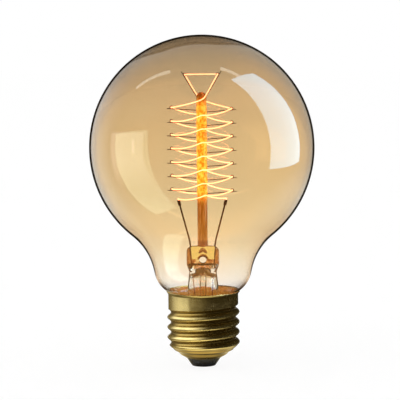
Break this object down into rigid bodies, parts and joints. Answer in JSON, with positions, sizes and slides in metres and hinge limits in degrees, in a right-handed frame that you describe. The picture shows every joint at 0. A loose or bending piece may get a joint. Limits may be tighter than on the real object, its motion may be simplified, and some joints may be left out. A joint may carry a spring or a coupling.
{
  "type": "globe filament lamp",
  "caption": "Amber glass globe lamp with a double-helix filament on hooks round a glass rod, and a brass screw cap.",
  "frame": {"origin": "middle of the flat end of the solder on the centre contact, the lowest point of the lamp, on the lamp's axis", "axes": "+Z along the lamp's axis from the centre contact to the crown of the globe; -X left and +X right hooks; -Y the front"},
  "size_m": [0.0808, 0.0808, 0.1196],
  "materials": {
    "tinted_glass": "light amber blown glass, polished",
    "clear_glass": "clear stem glass, fire polished",
    "rod_glass": "glass rod that takes the filament's glow",
    "filament_wire": "filament wire, glowing",
    "hook_wire": "drawn molybdenum wire, dark",
    "lead_wire": "drawn nickel wire, satin",
    "clamp_metal": "crimped nickel sleeve",
    "seal_copper": "copper-coated seal wire",
    "lead_copper": "bare copper wire",
    "brass_shell": "rolled sheet brass, bright",
    "black_glass": "moulded black glass, glossy",
    "brass_contact": "stamped brass",
    "solder": "tin solder, dull bright",
    "cement": "baked cement, matt"
  },
  "bodies": {
    "root": {"glass_envelope": "tinted_glass", "stem_flare": "clear_glass", "exhaust_tube": "clear_glass", "support_rod": "rod_glass", "filament": "filament_wire", "top_hook_left": "hook_wire", "top_hook_right": "hook_wire", "hook_left_1": "hook_wire", "hook_left_2": "hook_wire", "hook_left_3": "hook_wire", "hook_left_4": "hook_wire", "hook_left_5": "hook_wire", "hook_left_6": "hook_wire", "hook_left_7": "hook_wire", "hook_right_1": "hook_wire", "hook_right_2": "hook_wire", "hook_right_3": "hook_wire", "hook_right_4": "hook_wire", "hook_right_5": "hook_wire", "hook_right_6": "hook_wire", "hook_right_7": "hook_wire", "inner_lead_left": "lead_wire", "inner_lead_right": "lead_wire", "filament_clamp_left": "clamp_metal", "filament_clamp_right": "clamp_metal", "seal_wire_left": "seal_copper", "seal_wire_right": "seal_copper", "contact_lead": "lead_copper", "shell_lead": "lead_copper", "cap_shell": "brass_shell", "cap_insulator": "black_glass", "contact_eyelet": "brass_contact", "contact_solder": "solder", "shell_weld": "solder", "basing_cement": "cement"}
  },
  "joints": []
}
